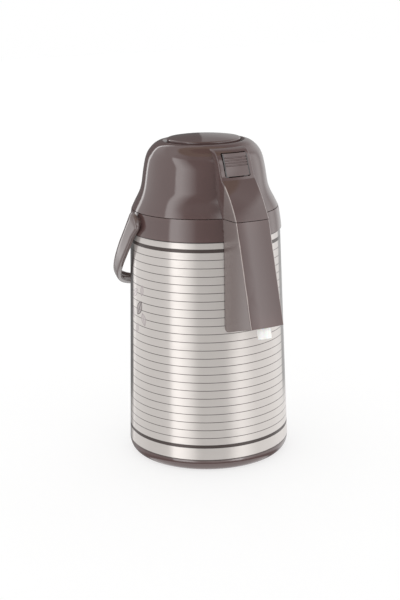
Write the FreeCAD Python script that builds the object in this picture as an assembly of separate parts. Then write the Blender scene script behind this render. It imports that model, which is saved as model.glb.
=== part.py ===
"""Pump pot (airpot): a steel vacuum jug with a bellows pump in its hinged lid.

Frame: origin at the centre of the base's resting face, +Z up, the spout towards -Y,
the lid's hinge towards +Y and the carrying handle's pivots on +X and -X. Millimetres.
"""
import FreeCAD, Part
import math
import os
from FreeCAD import Vector

os.makedirs("parts", exist_ok=True)

# ---------------------------------------------------------------- driving dimensions
BASE_H = 12.0              # height of the plastic base below the steel
BASE_R = 84.8              # outer radius where the base meets the steel
TAPER = 0.0321             # radius lost by the steel shell per mm of height
SHELL_TOP = 240.2
DECK_Z = SHELL_TOP + 2.8   # upper face of the collar's floor
SHEET = 0.8                # steel sheet
WALL = 2.4                 # moulded plastic wall
SEAM_Z = 260.5             # joint between the collar and the lid
SEAM_GAP = 0.6
LID_TOP_Z = 328.8          # crown of the lid's shoulder
TOP_Z = 333.9              # crown of the push plate
WELL_R = 38.3              # well in the lid that guides the push plate
PLATE_R = 37.5
PLATE_RIM = [(PLATE_R, 329.7), (PLATE_R - 0.3, 330.6), (PLATE_R - 1.2, 331.1)]
PLATE_DOME = [PLATE_RIM[-1], (PLATE_R - 8, 332.1), (18.0, 333.3), (0.0, TOP_Z)]
PLATE_FOOT = 301.4
PLATE_WALL = 2.2
NOSE_HALF = 18.6           # half width of the spout housing along its front ridges
NOSE_DRAFT = 0.067         # how fast the housing widens towards the pot
NOSE_TIP = (124.0, 160.0)  # foot of the housing's front: distance from the axis, height
NOSE_HEEL = (74.0, 144.2)  # foot of the housing's sides, inside the shell's surface
HEEL_LINE = [(87.0, 148.3), (84.3, 148.1), (82.6, 149.0), (81.6, 151.2)]  # its rounded corner
NOSE_SEAM_A = 97.1         # distance of the front from the axis at the lid's seam
NOSE_GAP = 1.2             # between the housing's sides and the steel
SPOUT_FOOT = (118.6, 147.5)
SPOUT_R = 7.0
SPOUT_SLOPE = 0.25         # forward travel of the spout per mm of drop
PIPE_Z = 250.5             # height of the pouring pipe's level run
PIPE_R = 4.5
PIPE_BORE = 3.2
STEM_R = 4.0
STEM_FOOT = 44.0
HINGE_Y = 81.5
HINGE_Z = 262.0
KNUCKLE_R = 5.0
HANDLE_Z = 250.8           # pivots of the carrying handle
HANDLE_Y = -1.6
HANDLE_RISE = 1.6          # the arms' centre line passes this far above the pivots
HANDLE_OUT = 85.4          # half width across the handle
HANDLE_THICK = 5.9
HANDLE_DEPTH = 122.6       # from the pivots to the outside of the bow
HANDLE_SQUARE = 3.6        # exponent of the bow's outline: 2 is an ellipse, more is squarer
HANDLE_BEND = 0.0014       # side curve: height over the arms' line per mm of reach squared
HANDLE_BAND = 16.2
HANDLE_TRIM = 2.6          # how much narrower the band is at the bow, on the pot's side
HANDLE_WAIST = 5.0         # and on its far side
HANDLE_TAPER = 12          # how late along the arms the far side narrows: a higher power is later
HANDLE_BROAD = 3.9         # extra width of the arms' far side up to 40 mm from the pivots
HANDLE_SLIM = 1.2          # and from 85 mm on
HANDLE_EYE = 9.4           # radius of the eyes at the pivots
HANDLE_ROUND = 2.2         # rounding of the band's edges
BOSS_R = 5.6               # collar's boss behind each eye
PIVOT_R = 3.5              # the handle's pins
HANDLE_DROP = 53.2         # degrees below level at the pivots where the handle rests
LATCH_HALF = 13.65
LATCH_WALL = 3.0
LATCH_ROUND = 1.6          # corners of the button and of its window
LATCH_A = 55.0             # latch pivot: distance from the axis, height
LATCH_Z = 316.5
LATCH_FOOT = 300.8         # lower and upper edge of the latch's button
LATCH_HEAD = 322.2
GRIP_HEIGHTS = (310.8, 313.3, 315.8, 318.3)   # grooves across the upper half of the button
GRIP_R = 0.75
GRIP_DEPTH = 0.5
PIN_R = 1.5                # hinge pin and latch pin
LINER_RIM = 237.2
GLASS = 1.8
BALL_R = 4.6
COVER_Z = 264.0            # underside of the lid's inner cover
COVER_TOP = 266.4
LID_SCREW_R = 60.0
LID_SCREW_ANGLES = (40, 140, 218, 322)
BELLOWS_R = 31.2
BELLOWS_FOLDS = 6
BELLOWS_TOP = 316.0
RUNNING = 0.07             # radial clearance of a pin that turns

MOUTH_R = 44.3             # opening in the base for the screw plug
PLUG_CLEARANCE = 0.3
PLUG_H = 12.0
CUSHION = (24.0, 39.0, 29.0)   # inner and outer radius, height before it is hollowed
GASKET = (34.6, 43.6, 45.6, 233.5)   # mouth gasket: inner, rim and skirt radius, foot of the skirt
SEAT = (33.2, 38.2, 259.0)     # ring of the pump seat: inner and outer radius, top
SEAT_NECK = (30.0, 34.5)       # its part inside the mouth gasket
SEAL = (33.4, 37.8, 259.2, 261.4)    # pump seal: inner and outer radius, foot, top
SPOKE_ANGLES = (90, 210, 330)
CAGE_R = 8.0                   # outside of the anti-spill valve's cage
PIPE_HOLE_R = 6.6              # holes that the pipe's gasket fills
PIPE_FLANGE_R = 7.4
KNUCKLE_HALF = 13.5            # the lid's knuckle sits between the collar's lugs
LUG = (13.9, 20.0)             # inner and outer side of each lug
KEEPER = (8.0, 14.2)           # sides of the keeper's slots for the latch's two hooks
PIVOT_HEAD = (71.0, 73.0, 2.5) # head of each handle pin: inner and outer end, height over the pin
LATCH_PIN_HALF = 17.8
COVER_R = 66.0
AIR_HOLES = (6, 7.5, 2.2)      # air holes in the cover: number, circle radius, hole radius
SCREW_HOLE_R = 1.5
SCREW_BOSS_R = 4.2
SLEEVE_FOOT = 304.0            # the lid's sleeve stops the push plate's flange here
PLATE_RIBS = 6
HUB = (6.0, 8.0, 321.0)        # push plate's hub: inner and outer radius, foot
CAP_COLLAR = (8.2, 10.2, 9.0)  # ring round the hub on the bellows cap: radii, height
NOSE_ROUND = 1.6               # rounding of the housing's ridges

# side of the base, outer line of the collar and of the lid, as (radius, height)
BASE_SIDE = [(76.0, 0.0), (80.8, 1.6), (83.7, 5.8), (BASE_R, BASE_H)]
COLLAR_LINE = [(78.9, 238.4), (78.4, 243.5), (77.4, 251.0), (75.7, SEAM_Z - SEAM_GAP / 2)]
LID_LINE = [(75.4, SEAM_Z + SEAM_GAP / 2), (70.8, 270.0), (66.1, 280.0), (63.5, 293.0),
            (61.1, 307.0), (57.7, 317.3), (53.2, 323.2), (48.5, 326.9), (43.0, LID_TOP_Z)]
LID_CROWN = [(43.0, LID_TOP_Z), (41.0, 328.6), (39.4, 327.6), (WELL_R, 325.4)]
# front of the spout housing on the lid along its ridges, as (distance forward of the axis, height)
NOSE_FLARE = [(NOSE_SEAM_A - 0.1, SEAM_Z + SEAM_GAP / 2), (91.6, 270.5), (85.6, 280.0), (78.6, 289.0),
              (70.6, 297.4)]
NOSE_PANEL = [(70.6, 297.4), (67.6, 303.0), (64.2, 312.0), (60.6, 319.5), (57.0, 323.4), (52.0, 325.3),
              (44.0, 326.2)]
# front of the latch's button, which stands a little proud of the panel towards its head
LATCH_LINE = [(70.8, 297.4), (68.1, 303.0), (66.0, 309.0), (64.0, 315.0), (61.9, 320.0), (60.3, 323.4)]
PANEL_RISE = 0.623         # fall-back of the ridge line per mm of height above the seam
LINER_OUT = [(0.0, 22.0), (38.0, 26.5), (63.0, 42.0), (72.0, 66.0)]
LINER_OUT_TOP = [(72.0, 180.0), (67.5, 199.0), (53.5, 214.0), (44.0, 223.0), (42.0, 231.0)]
LINER_IN = [(0.0, 29.5), (34.0, 33.5), (57.0, 48.0), (66.0, 70.0)]
LINER_IN_TOP = [(66.0, 177.0), (61.5, 194.0), (48.0, 208.0), (38.8, 218.5), (36.8, 229.0)]


# ---------------------------------------------------------------- helpers
def shell_r(z):
    """Outer radius of the steel shell at height z."""
    return BASE_R - TAPER * (z - BASE_H)


def front_a(z):
    """Distance of the lower spout housing's front from the axis at height z."""
    lean = (NOSE_TIP[0] - NOSE_SEAM_A) / (SEAM_Z - NOSE_TIP[1])
    return NOSE_SEAM_A + lean * (SEAM_Z - z)


def radial(r, z):
    """Point of a half section that is turned about the axis."""
    return Vector(r, 0, z)


def sagittal(a, z):
    """Point in the plane through the spout, a mm forward of the axis."""
    return Vector(0, -a, z)


def inset(points, depth):
    """Points moved by depth to the left of their direction of travel."""
    moved = []
    for i, (r, z) in enumerate(points):
        before = points[max(i - 1, 0)]
        after = points[min(i + 1, len(points) - 1)]
        dr, dz = after[0] - before[0], after[1] - before[1]
        size = math.hypot(dr, dz)
        moved.append((r - depth * dz / size, z + depth * dr / size))
    return moved


def face(runs, place=radial):
    """Closed plane face. Each run is a list of corners, or ("smooth", points)."""
    edges = []
    start = last = None
    for run in runs:
        smooth = run[0] == "smooth"
        points = [place(*p) for p in (run[1] if smooth else run)]
        if last is not None and last.distanceToPoint(points[0]) > 1e-6:
            edges.append(Part.makeLine(last, points[0]))
        if smooth:
            curve = Part.BSplineCurve()
            curve.interpolate(points)
            edges.append(curve.toShape())
        else:
            edges += [Part.makeLine(p, q) for p, q in zip(points, points[1:])]
        start = start or points[0]
        last = points[-1]
    if last.distanceToPoint(start) > 1e-6:
        edges.append(Part.makeLine(last, start))
    return Part.Face(Part.Wire(edges))


def turned(*runs):
    """Solid of revolution about Z."""
    return face(runs).revolve(Vector(), Vector(0, 0, 1), 360)


def slab(runs, half):
    """Sagittal outline made into a solid from -half to +half along X."""
    return face(runs, sagittal).translated(Vector(-half, 0, 0)).extrude(Vector(2 * half, 0, 0))


def ring(r_in, r_out, z0, z1):
    """Plain ring, or a disc where r_in is 0."""
    body = Part.makeCylinder(r_out, z1 - z0, Vector(0, 0, z0))
    if r_in:
        body = body.cut(Part.makeCylinder(r_in, z1 - z0, Vector(0, 0, z0)))
    return body


def rod_x(x0, x1, y, z, r):
    """Round bar along X."""
    return Part.makeCylinder(r, x1 - x0, Vector(x0, y, z), Vector(1, 0, 0))


def box(x0, x1, y0, y1, z0, z1):
    return Part.makeBox(x1 - x0, y1 - y0, z1 - z0, Vector(x0, y0, z0))


def polar(r, degrees):
    """Point in the XY plane at a radius and an angle from +X."""
    return r * math.cos(math.radians(degrees)), r * math.sin(math.radians(degrees))


def radius_at(outline, z):
    """Radius at height z of an outline given as (radius, height) corners."""
    for (r0, z0), (r1, z1) in zip(outline, outline[1:]):
        if z0 <= z <= z1:
            return r0 + (r1 - r0) * (z - z0) / (z1 - z0)
    raise ValueError("height outside the outline")


def rounded_bar(half, z0, z1, y0=-90.0, y1=-40.0):
    """Bar along Y, centred on the spout's plane, with the latch's rounded corners."""
    bar = box(-half, half, y0, y1, z0, z1)
    return bar.makeFillet(LATCH_ROUND, [e for e in bar.Edges if e.BoundBox.YLength > (y1 - y0) / 2])


def both_sides(shape):
    """The shape and its mirror image across the YZ plane."""
    return shape.fuse(shape.mirror(Vector(), Vector(1, 0, 0)))


def fuse(shapes):
    whole = shapes[0].multiFuse(shapes[1:])
    return whole.removeSplitter()


def beyond(point, normal, size=400.0):
    """Big block that fills the far side of a plane."""
    block = Part.makeBox(size, size, size, Vector(-size / 2, -size / 2, 0))
    turn = FreeCAD.Rotation(Vector(0, 0, 1), normal)
    block.Placement = FreeCAD.Placement(point, turn)
    return block


def tube(path, r_out, r_in=0.0):
    """Round tube along sagittal points with the bends given as (a, z, bend radius)."""
    pts = [sagittal(a, z) for a, z, bend in path]
    edges = []
    start = pts[0]
    for i in range(1, len(pts) - 1):
        into = (pts[i] - pts[i - 1]).normalize()
        out = (pts[i + 1] - pts[i]).normalize()
        half_turn = into.getAngle(out) / 2
        reach = path[i][2] * math.tan(half_turn)
        first, second = pts[i] - into * reach, pts[i] + out * reach
        centre_way = (out - into).normalize()
        crown = pts[i] + centre_way * (path[i][2] / math.cos(half_turn) - path[i][2])
        edges.append(Part.makeLine(start, first))
        edges.append(Part.Arc(first, crown, second).toShape())
        start = second
    edges.append(Part.makeLine(start, pts[-1]))
    spine = Part.Wire(edges)
    way = (pts[1] - pts[0]).normalize()

    def swept(r):
        circle = Part.Wire([Part.Circle(pts[0], way, r).toShape()])
        return spine.makePipeShell([circle], True, False)

    body = swept(r_out)
    return body.cut(swept(r_in)) if r_in else body


def coil(radius, wire, length, turns, foot, way=Vector(0, 0, 1)):
    """Compression spring of round wire standing at foot, its length over the wire."""
    rise = length - wire
    helix = Part.makeHelix(rise / turns, rise, radius)
    circle = Part.Circle(Vector(radius, 0, 0), Vector(0, 1, 0), wire / 2).toShape()
    body = Part.Wire(helix.Edges).makePipeShell([Part.Wire([circle])], True, True)
    body.translate(Vector(0, 0, wire / 2))
    body.Placement = FreeCAD.Placement(foot, FreeCAD.Rotation(Vector(0, 0, 1), way)) * body.Placement
    return body


def screw(x, y, z, length, shank=1.5, head=3.0, head_h=2.0, slot=0.8):
    """Pan-head screw driven upwards from z, with a cross recess in its head."""
    body = ring(0, head, 0, head_h).fuse(ring(0, shank, head_h, length))
    recess = box(-head * 0.6, head * 0.6, -slot / 2, slot / 2, 0, head_h / 2)
    recess = recess.fuse(recess.rotated(Vector(), Vector(0, 0, 1), 90))
    return body.cut(recess).translated(Vector(x, y, z))


def write(name, shape):
    """Write one sub-part and say what it holds."""
    shape = shape.removeSplitter() if len(shape.Solids) == 1 else shape
    print(f"{name:18s} solids {len(shape.Solids)} valid {shape.isValid()} "
          f"volume {shape.Volume / 1000:8.2f} cm3 z {shape.BoundBox.ZMin:7.2f} {shape.BoundBox.ZMax:7.2f}")
    shape.exportStep(f"parts/{name}.step")


# ---------------------------------------------------------------- spout housing volumes
def ridge_r(a):
    """Radius of the turned front that lies a mm forward of the axis at the ridges."""
    return math.hypot(a, NOSE_HALF)


def housing(runs, skin, lean):
    """Front turned about the pot's axis from its outline, between the two drafted side planes."""
    body = turned(*runs).common(box(-40, 40, -140, -40, 100, TOP_Z))
    for side in (1, -1):
        normal = Vector(side, -NOSE_DRAFT, NOSE_DRAFT * lean).normalize()
        point = Vector(side * (NOSE_HALF - skin), -NOSE_SEAM_A, SEAM_Z)
        body = body.cut(beyond(point, normal))
    return body


def lower_nose(skin):
    """Housing below the seam as a solid; skin is how far inside the outer surface."""
    z_top = SEAM_Z - SEAM_GAP / 2
    lean = (front_a(0) - front_a(100)) / 100
    foot = skin * 1.05
    front = [(60.0, z_top), (ridge_r(front_a(z_top)) - skin, z_top),
             (ridge_r(NOSE_TIP[0]) - skin - lean * foot, NOSE_TIP[1] + foot)]
    if skin:
        heel_z = NOSE_HEEL[1] + foot + 3.0
        return housing([front + [(NOSE_HEEL[0], heel_z), (60.0, heel_z)]], skin, lean)
    return housing([front, ("smooth", HEEL_LINE), [HEEL_LINE[-1], (60.0, HEEL_LINE[-1][1])]], skin, lean)


def upper_nose(skin):
    """Housing above the seam, which is part of the lid."""
    z0 = SEAM_Z + SEAM_GAP / 2
    flare = [(ridge_r(a), z) for a, z in NOSE_FLARE]
    panel = [(ridge_r(a), z) for a, z in NOSE_PANEL]
    if skin:
        flare, panel = inset(flare, skin), inset(panel, skin)
    flare[0] = (flare[0][0], z0)
    meeting = ((flare[-1][0] + panel[0][0]) / 2, (flare[-1][1] + panel[0][1]) / 2)
    flare[-1] = panel[0] = meeting
    runs = [[(40.0, z0), flare[0]], ("smooth", flare), ("smooth", panel), [panel[-1], (40.0, panel[-1][1])]]
    return housing(runs, skin, PANEL_RISE)


def ridge_edges(body):
    """The long edges where a housing's front meets its two sides, and its foot corner."""
    return [e for e in body.Edges
            if abs(abs(e.CenterOfMass.x) - NOSE_HALF) < 1.5 and e.CenterOfMass.y < -56
            and e.BoundBox.XLength < 2.0 and e.BoundBox.ZLength > 6.0]


# ---------------------------------------------------------------- vessel
def outer_shell():
    outer = [(shell_r(BASE_H), BASE_H), (shell_r(SHELL_TOP), SHELL_TOP)]
    lip = [(71.0, SHELL_TOP), (71.0, SHELL_TOP - SHEET)]
    inner = [(shell_r(SHELL_TOP - SHEET) - SHEET, SHELL_TOP - SHEET), (shell_r(BASE_H) - SHEET, BASE_H)]
    return turned(outer + lip + inner)


def base_cover():
    skirt_r = shell_r(BASE_H) - SHEET
    ledge = [(BASE_R, BASE_H), (skirt_r, BASE_H), (skirt_r - TAPER * 12, BASE_H + 12)]
    inside = [(skirt_r - 2.6, BASE_H + 12), (skirt_r - 2.6, 6.0), (50.0, 3.2), (50.0, 14.0)]
    return turned(("smooth", BASE_SIDE), ledge + inside + [(MOUTH_R, 14.0), (MOUTH_R, 0.0)])


def base_plug():
    """Screw plug that lifts the liner against its gasket, with a finger bar."""
    plug_r = MOUTH_R - PLUG_CLEARANCE
    body = ring(0, plug_r, 0, PLUG_H).cut(ring(0, plug_r - 4.0, 4.0, PLUG_H))
    for z in (6.0, 9.5):
        body = body.fuse(ring(plug_r - 0.5, MOUTH_R, z, z + 1.4))
    pocket = ring(0, 36.0, 0, 2.6).cut(box(-40, 40, -7, 7, 0, 2.6))
    return fuse([body.cut(pocket), ring(20.0, 23.0, 4.0, PLUG_H)])


def glass(bottom, top, rim_r):
    """One wall of the vacuum liner: a bottle's outline given by its outer line."""
    rim = [(rim_r, top[-1][1]), (rim_r, LINER_RIM)]
    inner_bottom, inner_top = inset(bottom, GLASS), inset(top, GLASS)
    inner_bottom[0] = (0.0, bottom[0][1] + GLASS)
    inner_bottom[-1] = (bottom[-1][0] - GLASS, bottom[-1][1])
    inner_top[0] = (top[0][0] - GLASS, top[0][1])
    inner_top[-1] = (rim_r - GLASS, top[-1][1])
    return turned(("smooth", bottom), ("smooth", top), rim, [(rim_r - GLASS, LINER_RIM)],
                  ("smooth", inner_top[::-1]), ("smooth", inner_bottom[::-1]))


def liner_outer():
    return glass(LINER_OUT, LINER_OUT_TOP, LINER_OUT_TOP[-1][0])


def liner_inner():
    neck_r = LINER_IN_TOP[-1][0]
    bottle = glass(LINER_IN, LINER_IN_TOP, neck_r)
    return fuse([bottle, ring(neck_r - GLASS, LINER_OUT_TOP[-1][0] - GLASS, LINER_RIM - GLASS, LINER_RIM)])


def liner_cushion():
    """Rubber dish between the plug and the foot of the liner."""
    r_in, r_out, top = CUSHION
    dish = ring(r_in, r_out, PLUG_H, top)
    return dish.cut(turned(("smooth", LINER_OUT), [LINER_OUT[-1], (0.0, 80.0)]))


def mouth_gasket():
    r_in, rim_r, skirt_r, foot = GASKET
    return turned([(r_in, LINER_RIM), (rim_r, LINER_RIM), (rim_r, foot), (skirt_r, foot),
                   (skirt_r, SHELL_TOP), (r_in, SHELL_TOP)])


# ---------------------------------------------------------------- collar
def shell_clearance():
    """Room for the steel below the collar, with the housing's side gap."""
    z0, z1 = 100.0, COLLAR_LINE[0][1]
    return turned([(0, z0), (shell_r(z0) + NOSE_GAP, z0), (shell_r(z1) + NOSE_GAP, z1), (0, z1)])


def collar():
    top = SEAM_Z - SEAM_GAP / 2
    outer = turned(("smooth", COLLAR_LINE), [COLLAR_LINE[-1], (0, top), (0, COLLAR_LINE[0][1])])
    nose = lower_nose(0)
    nose = nose.makeFillet(NOSE_ROUND, ridge_edges(nose)).cut(shell_clearance())
    inner_line = inset(COLLAR_LINE[1:], WALL)
    inner_line = [(inner_line[0][0], DECK_Z)] + inner_line[1:-1] + [(inner_line[-1][0], top)]
    inner = turned(("smooth", inner_line), [inner_line[-1], (0, top), (0, DECK_Z)])
    under = turned([(0, 200), (shell_r(200), 200), (shell_r(SHELL_TOP), SHELL_TOP), (0, SHELL_TOP)])
    bowl = lower_nose(WALL - 0.2).cut(shell_clearance())
    bowl = bowl.cut(ring(0, shell_r(SHELL_TOP) + NOSE_GAP, 200, DECK_Z))
    body = outer.fuse(nose).cut(under).cut(inner).cut(bowl)
    # web across the housing that carries the latch keeper, with a slot for the pipe
    web = box(-17.6, 17.6, -76.0, -73.0, SHELL_TOP + 1, top - 0.6)
    web = web.cut(box(-6.2, 6.2, -80, -70, PIPE_Z - 5.4, top))
    web = web.cut(both_sides(box(*KEEPER, -80, -70, 249.4, 255.2)))
    # upstand that centres the pump seat
    upstand = ring(38.3, 40.6, DECK_Z - 0.5, DECK_Z + 4.0)
    # hinge lugs
    lug = box(*LUG, 73.0, 86.5, 248.0, 259.6)
    lug = lug.fuse(box(*LUG, HINGE_Y - KNUCKLE_R, HINGE_Y + KNUCKLE_R, 254.0, HINGE_Z))
    lug = lug.fuse(rod_x(*LUG, HINGE_Y, HINGE_Z, KNUCKLE_R))
    toe = slab([[(-70.0, 246.0), (-70.0, 247.0), (-86.6, 256.0), (-88.0, 256.0), (-88.0, 246.0)]], 21)
    # bosses that the handle turns on
    boss = rod_x(73.5, HANDLE_OUT - HANDLE_THICK - 0.4, HANDLE_Y, HANDLE_Z, BOSS_R)
    body = fuse([body, web, upstand, both_sides(lug.cut(toe)), both_sides(boss)])
    body = body.cut(ring(0, 34.6, 230, DECK_Z + 1))
    body = body.cut(both_sides(rod_x(PIVOT_HEAD[1], HANDLE_OUT, HANDLE_Y, HANDLE_Z, PIVOT_R)))
    head_in, head_out, shoulder = PIVOT_HEAD
    body = body.cut(both_sides(rod_x(head_in - 1, head_out, HANDLE_Y, HANDLE_Z, PIVOT_R + shoulder)))
    body = body.cut(ring(34, 38.3, DECK_Z, top)).cut(spout_axis_bar(SPOUT_R + 0.3))
    body = body.cut(Part.makeCylinder(PIPE_FLANGE_R, 20, Vector(0, -30, PIPE_Z), Vector(0, -1, 0)))
    return body.cut(rod_x(-30, 30, HINGE_Y, HINGE_Z, PIN_R))


# ---------------------------------------------------------------- pouring parts
def spout_point(z):
    """Sagittal point of the spout's centre line at height z."""
    return (SPOUT_FOOT[0] - SPOUT_SLOPE * (z - SPOUT_FOOT[1]), z)


def spout_axis_bar(r, z0=SPOUT_FOOT[1] - 1, z1=170.0):
    """Straight round bar along the spout's centre line."""
    low, high = sagittal(*spout_point(z0)), sagittal(*spout_point(z1))
    return Part.makeCylinder(r, low.distanceToPoint(high), low, high - low)


def pour_pipe():
    corner, foot = spout_point(PIPE_Z), spout_point(166.0)
    path = [(0.0, PIPE_Z - 8.0, 0), (0.0, PIPE_Z, 6.5), (*corner, 12.0), (*foot, 0)]
    return tube(path, PIPE_R, PIPE_BORE)


def spout_tip():
    body = spout_axis_bar(SPOUT_R, SPOUT_FOOT[1], 178.0)
    body = body.cut(spout_axis_bar(PIPE_R, 166.0, 180.0))
    body = body.cut(spout_axis_bar(PIPE_R - 0.4, SPOUT_FOOT[1] - 2, 167.0))
    return body.cut(spout_axis_bar(SPOUT_R - 1.4, SPOUT_FOOT[1] - 2, 156.0))


def stem_tube():
    body = ring(PIPE_BORE, STEM_R, STEM_FOOT, 222.0)
    return body.cut(box(-1.5, 1.5, -10, 10, STEM_FOOT, STEM_FOOT + 4))


def valve_cage():
    """Housing of the anti-spill ball, between the stem and the elbow."""
    body = turned([(STEM_R, 214.0), (6.0, 214.0), (CAGE_R, 220.0), (CAGE_R, 240.0), (PIPE_R + 1.6, 242.0),
                   (PIPE_R + 1.6, 247.0), (PIPE_R, 247.0), (PIPE_R, 242.5), (PIPE_BORE, 242.5),
                   (PIPE_BORE, 238.0), (6.4, 235.0), (6.4, 228.0), (PIPE_BORE, 224.8),
                   (PIPE_BORE, 222.0), (STEM_R, 222.0)])
    return body


def spill_ball():
    seat = math.sqrt(BALL_R ** 2 - PIPE_BORE ** 2)
    return Part.makeSphere(BALL_R, Vector(0, 0, 224.8 + seat + 0.35))


def pump_seat():
    """Ring that carries the pipe and takes the pump's seal."""
    r_in, r_out, top = SEAT
    body = ring(r_in, r_out, DECK_Z, top).fuse(ring(*SEAT_NECK, SHELL_TOP - 3.0, DECK_Z))
    for angle in SPOKE_ANGLES:
        spoke = box(8.6, 31.0, -1.5, 1.5, 238.0, 243.0)
        body = body.fuse(spoke.rotated(Vector(), Vector(0, 0, 1), angle))
    body = fuse([body, ring(CAGE_R + 0.05, CAGE_R + 2.0, 238.0, 243.0)])
    return body.cut(Part.makeCylinder(PIPE_HOLE_R, 30, Vector(0, -20, PIPE_Z), Vector(0, -1, 0)))


def pipe_gasket():
    start, length = Vector(0, -31.6, PIPE_Z), 8.0
    forward = Vector(0, -1, 0)
    body = Part.makeCylinder(PIPE_HOLE_R, length, start, forward)
    flange = Part.makeCylinder(PIPE_FLANGE_R, 1.4, Vector(0, -30.4, PIPE_Z), forward)
    body = body.fuse(flange).cut(Part.makeCylinder(PIPE_R, 20, Vector(0, -25, PIPE_Z), forward))
    return body.cut(ring(*SEAT[:2], SHELL_TOP, DECK_Z))


# ---------------------------------------------------------------- lid
def lid_shell():
    bottom = SEAM_Z + SEAM_GAP / 2
    outer = turned(("smooth", LID_LINE), ("smooth", LID_CROWN), [LID_CROWN[-1], (WELL_R, bottom)])
    inner_line = inset(LID_LINE, WALL)
    inner_line[0] = (inner_line[0][0], bottom)
    inner_line[-1] = (43.0, LID_TOP_Z - WALL)
    sleeve_r = WELL_R + 2.0
    sleeve = [(sleeve_r, LID_TOP_Z - WALL - 1.0), (sleeve_r, SLEEVE_FOOT), (WELL_R, SLEEVE_FOOT)]
    inner = turned(("smooth", inner_line), [inner_line[-1], *sleeve, (WELL_R, bottom)])
    nose = upper_nose(0)
    nose = nose.makeFillet(NOSE_ROUND, ridge_edges(nose))
    bore = ring(0, sleeve_r, 250, LID_TOP_Z)
    body = outer.fuse(nose.cut(bore)).cut(inner).cut(upper_nose(WALL - 0.2).cut(bore))
    # screw bosses for the inner cover
    solid_lid = turned(("smooth", LID_LINE), [LID_LINE[-1], (0, LID_TOP_Z), (0, bottom)])
    bosses = []
    for angle in LID_SCREW_ANGLES:
        x, y = polar(LID_SCREW_R, angle)
        bosses.append(Part.makeCylinder(SCREW_BOSS_R, 34, Vector(x, y, COVER_TOP)).common(solid_lid))
    knuckle = rod_x(-KNUCKLE_HALF, KNUCKLE_HALF, HINGE_Y, HINGE_Z, KNUCKLE_R)
    root = box(-KNUCKLE_HALF, KNUCKLE_HALF, 69.0, HINGE_Y, HINGE_Z, HINGE_Z + KNUCKLE_R)
    knuckle = knuckle.fuse(root)
    body = fuse([body] + bosses + [knuckle.cut(turned([(0, 250), (71.5, 250), (69.0, 270), (0, 270)]))])
    window = rounded_bar(LATCH_HALF + 0.5, LATCH_FOOT - 1.1, LATCH_HEAD + 0.6)
    body = body.cut(window.cut(ring(0, 52.5, 298, 340)))
    for angle in LID_SCREW_ANGLES:
        x, y = polar(LID_SCREW_R, angle)
        body = body.cut(Part.makeCylinder(SCREW_HOLE_R, 12, Vector(x, y, COVER_TOP - 1)))
    body = body.cut(rod_x(-LATCH_PIN_HALF, LATCH_PIN_HALF, -LATCH_A, LATCH_Z, PIN_R))
    return body.cut(rod_x(-20, 20, HINGE_Y, HINGE_Z, PIN_R + RUNNING))


def lid_inner_cover():
    """Plate that closes the lid's underside and carries the bellows."""
    body = ring(0, COVER_R, COVER_Z, COVER_TOP).cut(box(-20, 20, -80, -59.0, 250, 280))
    body = fuse([body, ring(*SEAL[:2], SEAL[3], COVER_Z), ring(31.4, 33.4, COVER_TOP, COVER_TOP + 3)])
    count, circle_r, hole_r = AIR_HOLES
    holes = [(*polar(circle_r, 360 * i / count), hole_r) for i in range(count)]
    holes += [(*polar(LID_SCREW_R, angle), SCREW_HOLE_R) for angle in LID_SCREW_ANGLES]
    for x, y, r in holes + [(0, 0, SCREW_HOLE_R)]:
        body = body.cut(Part.makeCylinder(r, 12, Vector(x, y, 260)))
    return body


def lid_screws():
    return Part.makeCompound([screw(*polar(LID_SCREW_R, a), COVER_Z - 2.0, 12.0) for a in LID_SCREW_ANGLES])


def pump_seal():
    return ring(*SEAL)


def flap_valve():
    """Soft disc under the cover's air holes, held by its own stalk."""
    return fuse([ring(0, 11.0, 262.6, 263.8), ring(0, 1.5, 263.8, 267.2), ring(0, 2.6, COVER_TOP, 267.6),
                 ring(0, 2.6, 263.8, COVER_Z)])


def bellows():
    """Pleated rubber sleeve, closed by flat rims above and below."""
    rise = (BELLOWS_TOP - COVER_TOP) / BELLOWS_FOLDS
    outer, inner = [], []
    for i in range(BELLOWS_FOLDS):
        z = COVER_TOP + i * rise
        outer += [(BELLOWS_R - 6.5, z), (BELLOWS_R, z + rise / 2)]
        inner += [(BELLOWS_R - 8.2, z), (BELLOWS_R - 1.7, z + rise / 2)]
    outer.append((BELLOWS_R - 6.5, BELLOWS_TOP))
    inner.append((BELLOWS_R - 8.2, BELLOWS_TOP))
    return turned(outer + inner[::-1])


def bellows_spring():
    return coil(16.0, 2.0, BELLOWS_TOP - COVER_TOP - 0.8, 5, Vector(0, 0, COVER_TOP + 0.4))


# ---------------------------------------------------------------- push plate
def push_plate():
    skirt = [(PLATE_R, PLATE_FOOT), PLATE_RIM[0]]
    middle = [(0.0, TOP_Z), (0.0, PLATE_FOOT)]
    outer = turned(skirt, ("smooth", PLATE_RIM), ("smooth", PLATE_DOME), middle)
    inside_r = PLATE_R - PLATE_WALL
    hollow = turned([(0, PLATE_FOOT), (inside_r, PLATE_FOOT), (inside_r, 328.8), (18, 330.7), (0, 331.3)])
    flange = ring(inside_r, PLATE_R + 2.4, PLATE_FOOT, PLATE_FOOT + PLATE_WALL)
    hub = ring(*HUB, TOP_Z - 0.9).common(outer)
    rib = box(HUB[1] - 1, PLATE_R - 1, -0.9, 0.9, 325.4, TOP_Z - 0.9).common(outer)
    ribs = [rib.rotated(Vector(), Vector(0, 0, 1), 360 * i / PLATE_RIBS) for i in range(PLATE_RIBS)]
    return fuse([outer.cut(hollow), flange, hub] + ribs)


def bellows_cap():
    """Disc on the bellows that the push plate's hub bears on."""
    body = ring(3.0, BELLOWS_R - 1.0, BELLOWS_TOP, BELLOWS_TOP + 2.4)
    r_in, r_out, height = CAP_COLLAR
    return fuse([body, ring(r_in, r_out, BELLOWS_TOP + 2.4, BELLOWS_TOP + height)])


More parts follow.
